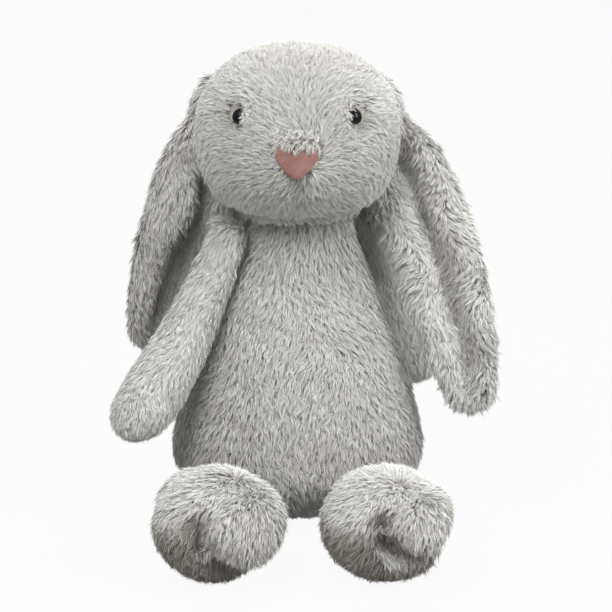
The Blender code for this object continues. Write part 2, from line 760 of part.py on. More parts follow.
build_rabbit()
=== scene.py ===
"""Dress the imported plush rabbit: sewn plush with a clumped pile, bead eyes, a suede nose and a white studio.

Everything is in metres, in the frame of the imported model: +Z is up, the rabbit faces -Y and its own left
side is +X.
"""

import json
import logging
import math
from dataclasses import dataclass
from enum import Enum

import bmesh
import bpy
import numpy as np
from bpy.types import ID, Material, Mesh, Node, NodeSocket, NodeTree, Object
from mathutils import Euler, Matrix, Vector
from mathutils.bvhtree import BVHTree


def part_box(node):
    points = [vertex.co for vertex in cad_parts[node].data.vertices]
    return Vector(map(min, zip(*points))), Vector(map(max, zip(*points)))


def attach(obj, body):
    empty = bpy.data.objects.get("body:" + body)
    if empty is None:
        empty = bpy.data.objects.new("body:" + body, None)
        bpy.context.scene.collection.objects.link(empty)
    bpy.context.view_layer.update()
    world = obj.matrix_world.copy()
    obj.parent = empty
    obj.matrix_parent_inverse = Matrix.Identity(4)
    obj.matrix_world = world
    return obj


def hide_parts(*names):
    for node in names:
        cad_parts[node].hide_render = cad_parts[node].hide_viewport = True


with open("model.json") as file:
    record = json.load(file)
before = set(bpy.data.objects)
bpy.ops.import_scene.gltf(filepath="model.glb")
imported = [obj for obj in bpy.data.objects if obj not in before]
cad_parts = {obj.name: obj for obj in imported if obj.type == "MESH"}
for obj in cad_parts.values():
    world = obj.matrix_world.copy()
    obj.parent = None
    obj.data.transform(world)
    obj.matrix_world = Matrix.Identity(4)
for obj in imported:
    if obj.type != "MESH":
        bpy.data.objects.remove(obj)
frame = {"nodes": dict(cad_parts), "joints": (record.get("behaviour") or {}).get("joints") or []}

LOG = logging.getLogger("plush_rabbit")
UV_NAME = "OFBake"
TONES = 24  # columns of tone across the map of a pile
SAME_POINT = 1e-5
CLOTH_OFF_FLOOR = 0.0005
HAIR_OFF_FLOOR = 0.0002
# The filling of the cloth, chosen for forms as small as these.
FILL_PRESSURE = 160.0
FILL_FRAMES = 20
KNIT_MASS = 0.02
KNIT_STRETCH = 0.2
KNIT_BEND = 0.02
DOWN = np.array((0.0, 0.0, -1.0))
BACK = np.array((0.0, 1.0, 0.0))
JOINTS = {joint["child"]: joint["pos_m"] for joint in frame["joints"]}
Array = np.ndarray
Colour = tuple[float, float, float]


class Side(Enum):
    """The toy's own sides, as its pieces are named."""

    LEFT = "left"
    RIGHT = "right"


@dataclass(frozen=True)
class FurFinish:
    """The look of the pile: a colour at the roots, one along the hairs and one at the tips. The darker roots
    are painted shade deep in the pile.
    """

    name: str
    root: Colour
    middle: Colour
    tip: Colour
    darkest: Colour = (0.42, 0.38, 0.345)
    lightest: Colour = (1.12, 1.12, 1.10)
    roughness: float = 0.82
    specular: float = 0.15
    sheen: float = 0.25
    sheen_roughness: float = 0.6

    def build(self) -> Material:
        """Make the material.

        Returns:
            A material that reads the tone of a tuft across the map and the place along a hair up the map.
        """
        material, tree, shader = blank_material(self.name)
        place = add_node(tree, "UVMap", {}, {})
        place.uv_map = UV_NAME
        split = add_node(tree, "SeparateXYZ", {}, {"Vector": place.outputs["UV"]})
        along = add_ramp(tree, split.outputs["Y"], ((0.0, self.root), (0.5, self.middle), (1.0, self.tip)))
        # The tone across the map carries random mottling and the painted light and shade of each section.
        tone = add_ramp(tree, split.outputs["X"], ((0.0, self.darkest), (1.0, self.lightest)))
        tint = add_node(tree, "VectorMath", {}, {0: along, 1: tone})
        tint.operation = "MULTIPLY"
        look = {
            "Roughness": self.roughness,
            "Specular IOR Level": self.specular,
            "Sheen Weight": self.sheen,
            "Sheen Roughness": self.sheen_roughness,
        }
        set_inputs(tree, shader, look, {"Base Color": tint.outputs["Vector"]})
        return material


@dataclass(frozen=True)
class ClothFinish:
    """The knitted backing that shows between the tufts."""

    name: str
    colour: Colour
    shade: Colour
    stitch: float = 0.0016

    def build(self) -> Material:
        """Make the material.

        Returns:
            A knitted cloth with mottled colour and a fine bump.
        """
        material, tree, shader = blank_material(self.name)
        place = add_node(tree, "TexCoord", {}, {}).outputs["Object"]
        patches = {"Scale": 1.0 / (self.stitch * 4.0), "Detail": 4.0}
        noise = add_node(tree, "TexNoise", patches, {"Vector": place})
        mixed = add_ramp(tree, noise.outputs["Fac"], ((0.35, self.shade), (0.65, self.colour)))
        knit = add_node(tree, "TexVoronoi", {"Scale": 1.0 / self.stitch}, {"Vector": place})
        depth = {"Strength": 0.5, "Distance": self.stitch * 0.3}
        bump = add_node(tree, "Bump", depth, {"Height": knit.outputs["Distance"]})
        look = {"Roughness": 0.95, "Specular IOR Level": 0.1}
        set_inputs(tree, shader, look, {"Base Color": mixed, "Normal": bump.outputs["Normal"]})
        return material


@dataclass(frozen=True)
class SuedeFinish:
    """The brushed suede of the nose."""

    name: str
    colour: Colour
    shade: Colour
    nap: float = 0.0007
    mottle: float = 260.0

    def build(self) -> Material:
        """Make the material.

        Returns:
            A suede with a fine nap and soft mottling.
        """
        material, tree, shader = blank_material(self.name)
        place = add_node(tree, "TexCoord", {}, {}).outputs["Object"]
        mottle = add_node(tree, "TexNoise", {"Scale": self.mottle, "Detail": 5.0}, {"Vector": place})
        mixed = add_ramp(tree, mottle.outputs["Fac"], ((0.3, self.shade), (0.7, self.colour)))
        nap = add_node(tree, "TexNoise", {"Scale": 1.0 / self.nap, "Detail": 3.0}, {"Vector": place})
        depth = {"Strength": 0.35, "Distance": self.nap}
        bump = add_node(tree, "Bump", depth, {"Height": nap.outputs["Fac"]})
        look = {"Roughness": 0.8, "Sheen Weight": 0.4}
        set_inputs(tree, shader, look, {"Base Color": mixed, "Normal": bump.outputs["Normal"]})
        return material


@dataclass(frozen=True)
class GlossFinish:
    """Smooth moulded plastic."""

    name: str
    colour: Colour
    roughness: float
    specular: float
    marks: float = 900.0

    def build(self) -> Material:
        """Make the material.

        Returns:
            A moulded plastic with faint handling marks in its gloss.
        """
        material, tree, shader = blank_material(self.name)
        place = add_node(tree, "TexCoord", {}, {}).outputs["Object"]
        marks = add_node(tree, "TexNoise", {"Scale": self.marks}, {"Vector": place})
        spread = {"To Min": self.roughness * 0.7, "To Max": self.roughness * 1.3}
        gloss = add_node(tree, "MapRange", spread, {"Value": marks.outputs["Fac"]})
        look = {"Base Color": (*self.colour, 1.0), "Specular IOR Level": self.specular}
        set_inputs(tree, shader, look, {"Roughness": gloss.outputs["Result"]})
        return material


def blank_material(name: str) -> tuple[Material, NodeTree, Node]:
    """Make a material with a Principled shader.

    Args:
        name: The material's name.

    Returns:
        The material, its node tree and its shader node.
    """
    material = bpy.data.materials.new(name)
    material.use_nodes = True
    return material, material.node_tree, material.node_tree.nodes["Principled BSDF"]


def set_inputs(tree: NodeTree, node: Node, values: dict, feeds: dict) -> None:
    """Set the inputs of a shader node.

    Args:
        tree: The node tree.
        node: The node.
        values: Fixed values, by input.
        feeds: Output sockets that feed the other inputs, by input.
    """
    for name, value in values.items():
        node.inputs[name].default_value = value
    for name, socket in feeds.items():
        tree.links.new(socket, node.inputs[name])


def add_node(tree: NodeTree, kind: str, values: dict, feeds: dict) -> Node:
    """Add a shader node.

    Args:
        tree: The node tree.
        kind: The node's type, after the word ShaderNode.
        values: Fixed values, by input.
        feeds: Output sockets that feed the other inputs, by input.

    Returns:
        The node.
    """
    node = tree.nodes.new(f"ShaderNode{kind}")
    set_inputs(tree, node, values, feeds)
    return node


def add_ramp(tree: NodeTree, source: NodeSocket, stops: tuple) -> NodeSocket:
    """Add a colour ramp.

    Args:
        tree: The node tree.
        source: The socket that feeds the ramp.
        stops: Positions and colours, from low to high.

    Returns:
        The colour that comes out.
    """
    ramp = add_node(tree, "ValToRGB", {}, {"Fac": source})
    elements = ramp.color_ramp.elements
    for element, (position, colour) in zip((elements[0], elements[1]), (stops[0], stops[-1])):
        element.position = position
        element.color = (*colour, 1.0)
    for position, colour in stops[1:-1]:
        elements.new(position).color = (*colour, 1.0)
    return ramp.outputs["Color"]


# Each pile's ramp runs from dark roots to light tips, and the dark roots are painted shade deep in the pile.
# The smooth pile has lighter roots, so it paints less shade between its tufts.
PILE = FurFinish("plush_pile", (0.37, 0.355, 0.34), (0.58, 0.572, 0.557), (0.75, 0.748, 0.735))
SMOOTH_PILE = FurFinish(
    "plush_smooth", (0.46, 0.45, 0.437), (0.60, 0.595, 0.582), (0.73, 0.730, 0.716), (0.52, 0.49, 0.465)
)
# The backing is the real knit under the pile. Its darker colour also paints shade into the gaps between the
# tufts.
BACKING = ClothFinish("plush_backing", (0.48, 0.455, 0.43), (0.37, 0.345, 0.32))
NOSE = SuedeFinish("nose_suede", (0.29, 0.145, 0.118), (0.225, 0.107, 0.087))
BEAD = GlossFinish("eye_bead", (0.004, 0.004, 0.005), 0.10, 0.22)
WASHER = GlossFinish("eye_washer", (0.70, 0.70, 0.68), 0.45, 0.5)


@dataclass(frozen=True)
class Pile:
    """The measures of a coat of pile."""

    hairs: int
    seed: int
    length: float = 0.0100
    sunk: float = 0.0042
    lift: float = 0.55
    width: float = 0.00052
    tuft: float = 0.0013
    tone: float = 0.72
    per_tuft: int = 6
    root_shade: float = 0.01
    flecks: float = 0.015
    mottle: float = 1.0
    waves: float = 34.0
    ruffle: float = 0.30
    shortest: float = 0.05


@dataclass
class Section:
    """One stuffed section of the toy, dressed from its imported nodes."""

    name: str
    body: str
    skin: str
    inside: tuple[str, ...]
    pile: Pile
    fill: float = 0.7
    halves: bool = False
    brushed: bool = False
    voxel: float = 0.0034
    smoothing: int = 8
    wall: float = 0.0022
    filled: bool = False
    drawn: float = 0.0
    swell: float = 0.0030
    seam_reach: float = 0.022
    seat_reach: float = 0.0015

    def sewn(self, points: Array) -> Array:
        """Where a seam holds the cloth while it is filled.

        Args:
            points: Points of the surface.

        Returns:
            True at a seam.
        """
        return distance(points, JOINTS[self.body]) < self.seam_reach

    def sculpt(self, points: Array, normals: Array) -> Array:
        """Shape the sewn surface.

        Args:
            points: Points of the surface.
            normals: Normals there.

        Returns:
            The points, moved.
        """
        return points

    def sinking(self, points: Array) -> Array:
        """Where the cloth lies under the full depth of its pile.

        Args:
            points: Points of the surface.

        Returns:
            A share of the full depth, 0 at a seam with the next section.
        """
        return np.ones(len(points))

    def lay(self, points: Array, normals: Array) -> Array:
        """The way the pile is brushed, before it is turned into the cloth.

        Args:
            points: Root points.
            normals: Normals of the cloth there.

        Returns:
            A direction for each point.
        """
        return np.tile(DOWN, (len(points), 1))

    def share(self, points: Array, normals: Array) -> Array:
        """Where there is pile, and how long.

        Args:
            points: Root points.
            normals: Normals of the cloth there.

        Returns:
            The share of full length at each point.
        """
        full = np.ones(len(points))
        full[(points[:, 2] < self.seat_reach) & (normals[:, 2] < -0.6)] = 0.0
        return full

    def rise(self, points: Array) -> Array:
        """How steeply the pile stands.

        Args:
            points: Root points.

        Returns:
            A multiple of the pile's lift at each point.
        """
        return np.ones(len(points))

    def shade(self, points: Array, normals: Array) -> Array:
        """How much lighter or darker the pile is than the section's tone; the sections paint light and shade
        with this.

        Args:
            points: Root points.
            normals: Normals of the cloth there.

        Returns:
            A change of tone at each point.
        """
        return np.zeros(len(points))

    def outer_surface(self) -> Mesh:
        """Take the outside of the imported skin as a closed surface.

        Returns:
            A mesh without the inside of the cloth.
        """
        bm = bmesh.new()
        bm.from_mesh(frame["nodes"][self.skin].data)
        bmesh.ops.remove_doubles(bm, verts=bm.verts[:], dist=SAME_POINT)
        stuffed = [node for node in self.inside if not node.endswith("lining")]
        if stuffed:
            filling = bmesh.new()
            for node in stuffed:
                filling.from_mesh(frame["nodes"][node].data)
            tree = BVHTree.FromBMesh(filling)
            inner = [vertex for vertex in bm.verts if tree.find_nearest(vertex.co)[3] < self.wall]
            bmesh.ops.delete(bm, geom=inner, context="VERTS")
            bmesh.ops.holes_fill(bm, edges=[edge for edge in bm.edges if edge.is_boundary], sides=0)
            filling.free()
        bmesh.ops.triangulate(bm, faces=bm.faces[:])
        bmesh.ops.recalc_face_normals(bm, faces=bm.faces[:])
        mesh = bpy.data.meshes.new(self.name)
        bm.to_mesh(mesh)
        bm.free()
        return mesh

    def make_cloth(self, material: Material) -> Object:
        """Make the sewn cloth of the section, sunk by the depth of its pile.

        Args:
            material: The backing cloth.

        Returns:
            The cloth.
        """
        cloth = add_object(self.name, self.outer_surface())
        soften_form(cloth, self.voxel, self.smoothing)
        if self.filled:
            points, normals = surface_arrays(cloth.data)
            move_points(cloth.data, points - normals * self.drawn)
            fill_form(cloth, self.sewn(points), self.swell)
        move_points(cloth.data, self.sculpt(*surface_arrays(cloth.data)))
        points, normals = surface_arrays(cloth.data)
        move_points(cloth.data, points - normals * (self.pile.sunk * self.sinking(points))[:, None])
        cloth.data.shade_smooth()
        paint(cloth, material)
        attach(cloth, self.body)
        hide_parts(self.skin, *self.inside)
        return cloth

    def make_fur(self, cloth: Object, material: Material) -> None:
        """Grow the pile on the cloth, in one coat or in a front and a back coat.

        Args:
            cloth: The cloth of the section.
            material: The pile.
        """
        pile = self.pile
        rng = np.random.default_rng(pile.seed)
        roots, normals = scatter(cloth.data, pile.hairs // pile.per_tuft, rng)
        share = self.share(roots, normals)
        grown = share > pile.shortest
        coats = {"pile": grown}
        if self.halves:
            front = normals[:, 1] < 0.0
            coats = {"pile_front": grown & front, "pile_back": grown & ~front}
        for suffix, chosen in coats.items():
            place, square = roots[chosen], normals[chosen]
            ways = self.lay(place, square) + wave_vectors(place, pile.waves, pile.seed) * pile.ruffle
            ways = unit(ways - square * np.sum(ways * square, axis=1, keepdims=True))
            # The tone carries the painted light and shade of the section, besides its random mottling.
            tone = pile.tone + self.shade(place, square)
            tufts = Tufts(pile, place, square, ways, share[chosen], self.rise(place), tone, rng)
            fur = tufts.build(f"{self.name}_{suffix}", material)
            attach(fur, self.body)


@dataclass
class Head(Section):
    """The head, brushed away from the nose, with fur round the eyes and over the top of the nose."""

    eye_clear: float = 0.0031
    eye_tall: float = 0.0050
    eye_shift: float = 0.0028
    lid_rise: float = 0.0058
    lid_aside: float = 0.0036
    eye_hollow: float = 0.0110
    eye_side: float = 0.008
    eye_brush: float = 0.0065
    brow: float = 0.0045
    hollow_depth: float = 0.0045
    lid_width: float = 0.0036
    lid_height: float = 0.0075
    bridge: float = 0.0100
    bridge_rise: float = 0.0025
    over_edge: float = 0.001
    bridge_front: float = -0.04
    nose_front: float = -0.05
    seam_front: float = -0.03
    seam_start: float = 0.006
    neck_seam: float = 0.004
    chin_rise: float = 0.012
    swept_reach: float = 0.11
    neck_clear: float = 0.032
    neck_rim: float = 0.010
    neck_bare: float = 0.003
    seam_depth: float = 0.0030
    seam_width: float = 0.0045
    nose_reach: float = 0.018
    ear_reach: float = 0.020

    def __post_init__(self) -> None:
        self.eyes = [np.array(node_middle(f"eye_{side.value}")) for side in Side]
        low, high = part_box("nose")
        self.nose = np.array(node_middle("nose"))
        self.nose_half = (np.array(high) - np.array(low)) / 2.0
        self.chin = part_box(self.skin)[0][2]

    def sculpt(self, points: Array, normals: Array) -> Array:
        """Raise lids and hollows by the eyes, fill the bridge and draw in the seam under the nose."""
        near, inner = self.beside_eye(points)
        lift = self.lid_rise * self.on_lid(points) - self.hollow_depth * near * (1.0 - inner)
        lift = lift + self.bridge_rise * self.over_nose(points)
        moved = points + normals * lift[:, None]
        below = smooth_step((self.nose[2] - self.seam_start - points[:, 2]) / self.seam_start)
        above = self.over_chin(points)
        seam = bell(points[:, 0] / self.seam_width) * below * above * (points[:, 1] < self.seam_front)
        return moved - normals * (self.seam_depth * seam)[:, None]

    def over_chin(self, points: Array) -> Array:
        """How far points are above the neck seam.

        Args:
            points: Points of the head.

        Returns:
            0 at the seam, rising to 1 over the chin.
        """
        return smooth_step((points[:, 2] - self.chin - self.neck_seam) / self.chin_rise)

    def sinking(self, points: Array) -> Array:
        """Not at the neck seam, and little at the nose, the ears and the nose side of the eyes."""
        near, inner = self.beside_eye(points)
        rim = np.hypot(points[:, 0], points[:, 1]) < self.neck_clear + self.neck_rim
        full = np.where(rim, self.over_chin(points), 1.0)
        spots = [(self.nose, self.nose_reach)]
        spots += [(JOINTS[f"ear_{side.value}"], self.ear_reach) for side in Side]
        for spot, reach in spots:
            full *= 1.0 - 0.7 * bell(distance(points, spot) / reach)
        return full * (1.0 - 0.8 * near * inner) * (1.0 - 0.95 * self.over_nose(points))

    def lay(self, points: Array, normals: Array) -> Array:
        """Away from the nose, then down the back and the cheeks."""
        away = unit(points - self.nose)
        far = smooth_step(distance(points, self.nose)[:, None] / self.swept_reach)
        swept = DOWN * 0.8 + BACK * (2.2 * np.clip(normals[:, 2:], 0.0, 1.0))
        ways = away * (1.0 - 0.7 * far) + swept * far
        aside = np.abs(points[:, 0]) < self.nose_half[0] * 0.95
        over = points[:, 2] - self.nose[2]
        rise = np.clip((over - self.nose_half[2] - self.over_edge) / self.bridge, 0.0, 1.0)
        fringe = aside & (over > 0.0) & (points[:, 1] < self.nose_front)
        fringe &= np.random.default_rng(self.pile.seed).uniform(0.0, 1.0, len(points)) > rise
        ways[fringe] = DOWN
        for eye in self.eyes:
            near = smooth_step(1.8 - distance(points, eye) / self.eye_brush)[:, None]
            down = np.where((points - eye)[:, 2:] > self.brow, -1.0, 1.0)
            ways = ways * (1.0 - near) + DOWN * down * near
        return ways

    def beside_eye(self, points: Array) -> tuple[Array, Array]:
        """Find points by the eyes.

        Args:
            points: Points of the head.

        Returns:
            How near the nearer eye each point is, and how much it is on the nose side of that eye.
        """
        near = np.zeros(len(points))
        inner = np.zeros(len(points))
        for eye in self.eyes:
            offset = points - eye
            close = bell(distance(points, eye) / self.eye_hollow)
            near = np.maximum(near, close)
            nose_side = smooth_step(0.5 - math.copysign(1.0, eye[0]) * offset[:, 0] / self.eye_side)
            inner = np.where(close >= near, nose_side, inner)
        return near, inner

    def on_lid(self, points: Array) -> Array:
        """How much points are on the lids, beside the eyes on the nose side.

        Args:
            points: Points of the head.

        Returns:
            1 on a lid, falling to 0.
        """
        lid = np.zeros(len(points))
        for eye in self.eyes:
            offset = points - eye
            aside = -math.copysign(1.0, eye[0]) * offset[:, 0] - self.lid_aside
            over = offset[:, 2] / self.lid_height
            lid = np.maximum(lid, np.exp(-((aside / self.lid_width) ** 2) - over**2))
        return lid

    def on_eye(self, points: Array) -> Array:
        """Find the bare, upright openings that show the beads.

        Args:
            points: Points of the head.

        Returns:
            True inside an opening.
        """
        bare = np.zeros(len(points), dtype=bool)
        for eye in self.eyes:
            offset = np.abs(points - eye - np.array((math.copysign(self.eye_shift, eye[0]), 0.0, 0.0)))
            bare |= (offset[:, 0] / self.eye_clear) ** 4 + (offset[:, 2] / self.eye_tall) ** 4 < 1.0
        return bare

    def rise(self, points: Array) -> Array:
        """Steeper on the nose side of the eyes, so that the pile half covers them."""
        near, inner = self.beside_eye(points)
        return 1.0 + 0.5 * near * inner + 0.2 * self.over_nose(points)

    def over_nose(self, points: Array) -> Array:
        """How much points are on the bridge, just over the nose.

        Args:
            points: Points of the head.

        Returns:
            1 just over the middle of the nose, falling to 0.
        """
        above = (points[:, 2] - self.nose[2] - self.nose_half[2] - self.over_edge) / (self.bridge * 0.45)
        aside = np.clip(np.abs(points[:, 0] - self.nose[0]) / self.nose_half[0], 0.0, 2.0)
        return np.exp(-(above**2) - aside**4) * (points[:, 1] < self.bridge_front)

    def share(self, points: Array, normals: Array) -> Array:
        """None on the eyes, on the nose and in the neck."""
        near, _ = self.beside_eye(points)
        full = super().share(points, normals) * (1.0 - 0.44 * smooth_step(near / 0.6))
        full *= 1.0 - 0.25 * self.over_nose(points)
        full[self.on_eye(points)] = 0.0
        aside = np.abs(points[:, 0] - self.nose[0]) / self.nose_half[0]
        over = (points[:, 2] - self.nose[2]) / self.nose_half[2]
        taper = 0.5 + 0.5 * np.clip(over, -1.0, 1.0)
        on_nose = (aside < 0.15 + 0.8 * taper) & (np.abs(over) < 0.92) & (points[:, 1] < self.nose_front)
        full[on_nose] = 0.0
        low = points[:, 2] < self.chin + self.neck_bare
        full[low & (np.hypot(points[:, 0], points[:, 1]) < self.neck_clear)] = 0.0
        return full

    def shade(self, points: Array, normals: Array) -> Array:
        """Painted light on the brow and on faces that look up, painted shade under the chin, in the eye
        hollows and on the well lit crown, and a little darker over the nose.
        """
        near, inner = self.beside_eye(points)
        crown = smooth_step((normals[:, 2] - 0.45) / 0.5)
        fringe = 0.10 * self.over_nose(points)
        return 0.10 * normals[:, 2] - 0.22 * crown - 0.85 * near * (1.0 - inner) - fringe


@dataclass
class Torso(Section):
    """The body, brushed down, with painted shade at its sides and low down."""

    filled: bool = True
    drawn: float = 0.0014
    tummy_seam_depth: float = 0.0016
    tummy_seam_width: float = 0.004
    neck_held: float = 0.008
    seat_held: float = 0.006
    neck_edge: float = 0.002
    neck_slope: float = 0.016
    neck_bare: float = 0.004

    def __post_init__(self) -> None:
        self.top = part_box(self.skin)[1][2]

    def sewn(self, points: Array) -> Array:
        """The neck and the seat."""
        return (points[:, 2] > self.top - self.neck_held) | (points[:, 2] < self.seat_held)

    def sculpt(self, points: Array, normals: Array) -> Array:
        """Draw in the seam down the tummy."""
        rise = points[:, 2] / self.top
        length = smooth_step((rise - 0.25) / 0.15) * smooth_step((0.8 - rise) / 0.15)
        near = bell(points[:, 0] / self.tummy_seam_width) * length * (points[:, 1] < 0.0)
        return points - normals * (self.tummy_seam_depth * near)[:, None]

    def sinking(self, points: Array) -> Array:
        """Not at the neck seam."""
        return smooth_step((self.top - self.neck_edge - points[:, 2]) / self.neck_slope)

    def share(self, points: Array, normals: Array) -> Array:
        """None on the face that the head sits on."""
        full = super().share(points, normals)
        full[(points[:, 2] > self.top - self.neck_bare) & (normals[:, 2] > 0.75)] = 0.0
        return full

    def shade(self, points: Array, normals: Array) -> Array:
        """Painted shade towards the sides and the seat."""
        rise = points[:, 2] / self.top
        return 0.06 - 0.10 * normals[:, 0] ** 2 - 0.28 * smooth_step((0.5 - rise) / 0.4)


@dataclass
class Ear(Section):
    """An ear folded lengthwise, with a crease where its lining is sewn in and a painted shadow beside it."""

    fold_depth: float = 0.0040
    fold_width: float = 0.0048
    neck_swell: float = 0.0080
    neck_reach: float = 0.028
    neck_drop: float = 0.004
    tip_fold: float = 0.010
    tip_step: float = 0.012
    tip_slope: float = 0.030
    root_edge: float = 0.008
    root_slope: float = 0.020
    shadow_edge: float = 0.004
    roll_edge: float = 0.006
    lip_rise: float = 0.0040
    lip_width: float = 0.0150
    step_depth: float = 0.0055
    step_width: float = 0.0090
    # The painted shadow that the roll casts on the lobe behind it, and painted light on the rest of that lobe.
    shadow_width: float = 0.016
    shadow_tone: float = 0.65
    lobe_painted_light: float = 0.0

    def __post_init__(self) -> None:
        lining = bmesh.new()
        lining.from_mesh(frame["nodes"][self.inside[0]].data)
        self.lining = BVHTree.FromBMesh(lining)
        self.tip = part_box(self.skin)[0][2]
        place = np.array([vertex.co for vertex in lining.verts])
        place = place[np.argsort(place[:, 2])]
        self.line = [part.mean(axis=0) for part in np.array_split(place, 12)]
        lining.free()

    def in_fold(self, points: Array) -> Array:
        """How deep points are in the fold.

        Args:
            points: Points of the ear.

        Returns:
            1 at the lining, falling to 0 away from it.
        """
        reach = np.array([self.lining.find_nearest(Vector(point))[3] for point in points])
        above_tip = smooth_step((points[:, 2] - self.tip - self.tip_fold) / self.tip_slope)
        return bell(reach / self.fold_width) * above_tip

    def past_fold(self, points: Array, normals: Array) -> tuple[Array, Array]:
        """Find points by the line of the fold, seen from the front.

        Args:
            points: Points of the ear.
            normals: Normals there.

        Returns:
            Distance past the line towards +X, and how much is the front of the ear, above its tip.
        """
        line = np.array(self.line)
        past = points[:, 0] - np.interp(points[:, 2], line[:, 2], line[:, 0])
        above_tip = smooth_step((points[:, 2] - self.tip - self.tip_step) / self.tip_slope)
        return past, smooth_step(0.3 - normals[:, 1] / 0.5) * above_tip

    def sculpt(self, points: Array, normals: Array) -> Array:
        """Raise the roll and press in the lobe behind it, and fill out the ear beside the neck."""
        past, ahead = self.past_fold(points, normals)
        lip = self.lip_rise * bell((past + 0.7 * self.lip_width) / self.lip_width)
        step = self.step_depth * bell((past - 0.5 * self.step_width) / self.step_width)
        points = points + normals * ((lip - step) * ahead)[:, None]
        level = JOINTS["head"][2] - self.neck_drop
        beside = self.neck_swell * bell((points[:, 2] - level) / self.neck_reach)
        outer_side = math.copysign(1.0, JOINTS[self.body][0])
        inward = np.clip(0.2 - 1.5 * outer_side * normals[:, 0], 0.0, 1.0)
        return points + normals * (beside * inward - self.fold_depth * self.in_fold(points))[:, None]

    def sinking(self, points: Array) -> Array:
        """Not at the root, which is sewn to the head."""
        return smooth_step((distance(points, JOINTS[self.body]) - self.root_edge) / self.root_slope)

    def share(self, points: Array, normals: Array) -> Array:
        """Shorter in the fold."""
        return super().share(points, normals) * (1.0 - 0.30 * self.in_fold(points))

    def shade(self, points: Array, normals: Array) -> Array:
        """Painted light on the roll, a painted shadow cast by the roll on the lobe just behind it, painted
        light set for each side on the rest of that lobe, and painted shade on the back.
        """
        past, ahead = self.past_fold(points, normals)
        shadow = bell(past / self.shadow_width) * smooth_step(past / self.shadow_edge + 0.5)
        roll = smooth_step(0.5 - past / self.roll_edge)
        lobe = 0.14 * roll + self.lobe_painted_light * (1.0 - roll) - self.shadow_tone * shadow
        return lobe * ahead - 0.10 * np.clip(normals[:, 1], 0.0, 1.0)


@dataclass
class Arm(Section):
    """An arm, brushed from its shoulder to its paw."""

    filled: bool = True
    drawn: float = 0.0006
    swell: float = 0.0010
    shoulder_swell: float = 0.0060
    shoulder_reach: float = 0.045

    def __post_init__(self) -> None:
        self.start = np.array(JOINTS[self.body])
        self.end = np.array(node_middle(self.skin))

    def sculpt(self, points: Array, normals: Array) -> Array:
        """Fill out the shoulder towards the ear."""
        near = bell(distance(points, self.start) / self.shoulder_reach)
        outward = np.clip(normals[:, 0] * math.copysign(1.0, self.start[0]), 0.0, 1.0)
        return points + normals * (self.shoulder_swell * near * outward)[:, None]

    def lay(self, points: Array, normals: Array) -> Array:
        """Along the arm."""
        return np.tile(unit((self.end - self.start)[None, :]), (len(points), 1)) + DOWN * 0.3


@dataclass
class Leg(Section):
    """A leg whose toes flop over the sole as a lobe, with a crease under it; its pile has painted light on top
    and painted shade on the sole and in the crease.
    """

    filled: bool = True
    drawn: float = 0.0004
    lobe: tuple[float, float] = (0.45, 0.12)
    lobe_radius: float = 0.58
    lobe_rise: float = 0.0080
    crease_depth: float = 0.0095
    crease_width: float = 0.0060
    crease_offset: float = 0.003
    bag_to_skin: float = 0.0036
    ankle_edge: float = 0.004
    ankle_slope: float = 0.02
    lobe_slope: float = 0.010
    sole_slope: float = 0.008
    waves: float = 45.0

    def __post_init__(self) -> None:
        low, high = (np.array(corner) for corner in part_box(self.skin))
        bag_low, bag_high = (np.array(corner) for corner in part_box(self.inside[1]))
        self.half = (bag_high[0] - bag_low[0]) / 2.0 + self.bag_to_skin
        self.foot = np.array(((bag_low[0] + bag_high[0]) / 2.0, low[1], high[2] / 2.0))
        self.middle = self.foot + self.half * np.array((self.lobe[0], 0.0, self.lobe[1]))
        self.ankle = bag_high[1]

    def from_lobe(self, points: Array) -> tuple[Array, Array, Array]:
        """Find points by the lobe.

        Args:
            points: Points of the foot.

        Returns:
            Distance past the lobe's edge, how far it is below the lobe's middle, and how much is foot.
        """
        offset = points - self.middle
        reach = np.hypot(offset[:, 0], offset[:, 2])
        under = smooth_step(0.55 - (offset[:, 2] + 0.35 * offset[:, 0]) / (self.lobe_radius * self.half))
        ahead = smooth_step((self.ankle - self.ankle_edge - points[:, 1]) / self.ankle_slope)
        return reach - self.lobe_radius * self.half, under, ahead

    def sculpt(self, points: Array, normals: Array) -> Array:
        """Raise the lobe and press in the crease round its lower side."""
        past, under, ahead = self.from_lobe(points)
        swell = self.lobe_rise * smooth_step(-past / self.lobe_slope) * ahead
        crease = self.crease_depth * bell((past - self.crease_offset) / self.crease_width) * under * ahead
        return points + normals * (swell - crease)[:, None]

    def lay(self, points: Array, normals: Array) -> Array:
        """Over the top of the foot and down its front, ruffled."""
        crown = self.middle + self.half * np.array((-0.15, 0.6, 0.9))
        ruffles = wave_vectors(points, self.waves, self.pile.seed + 3)
        return unit(points - crown) + DOWN * 0.45 + ruffles * 0.35

    def shade(self, points: Array, normals: Array) -> Array:
        """Painted light on top and on the lobe, painted shade on the sole and the most painted shade in the
        crease.
        """
        past, under, ahead = self.from_lobe(points)
        sole = smooth_step(past / self.sole_slope) * ahead * smooth_step((0.50 - normals[:, 2]) / 0.5)
        crease = bell((past - self.crease_offset) / self.crease_width) * under * ahead
        return 0.24 * normals[:, 2] - 0.62 * sole - 0.30 * crease


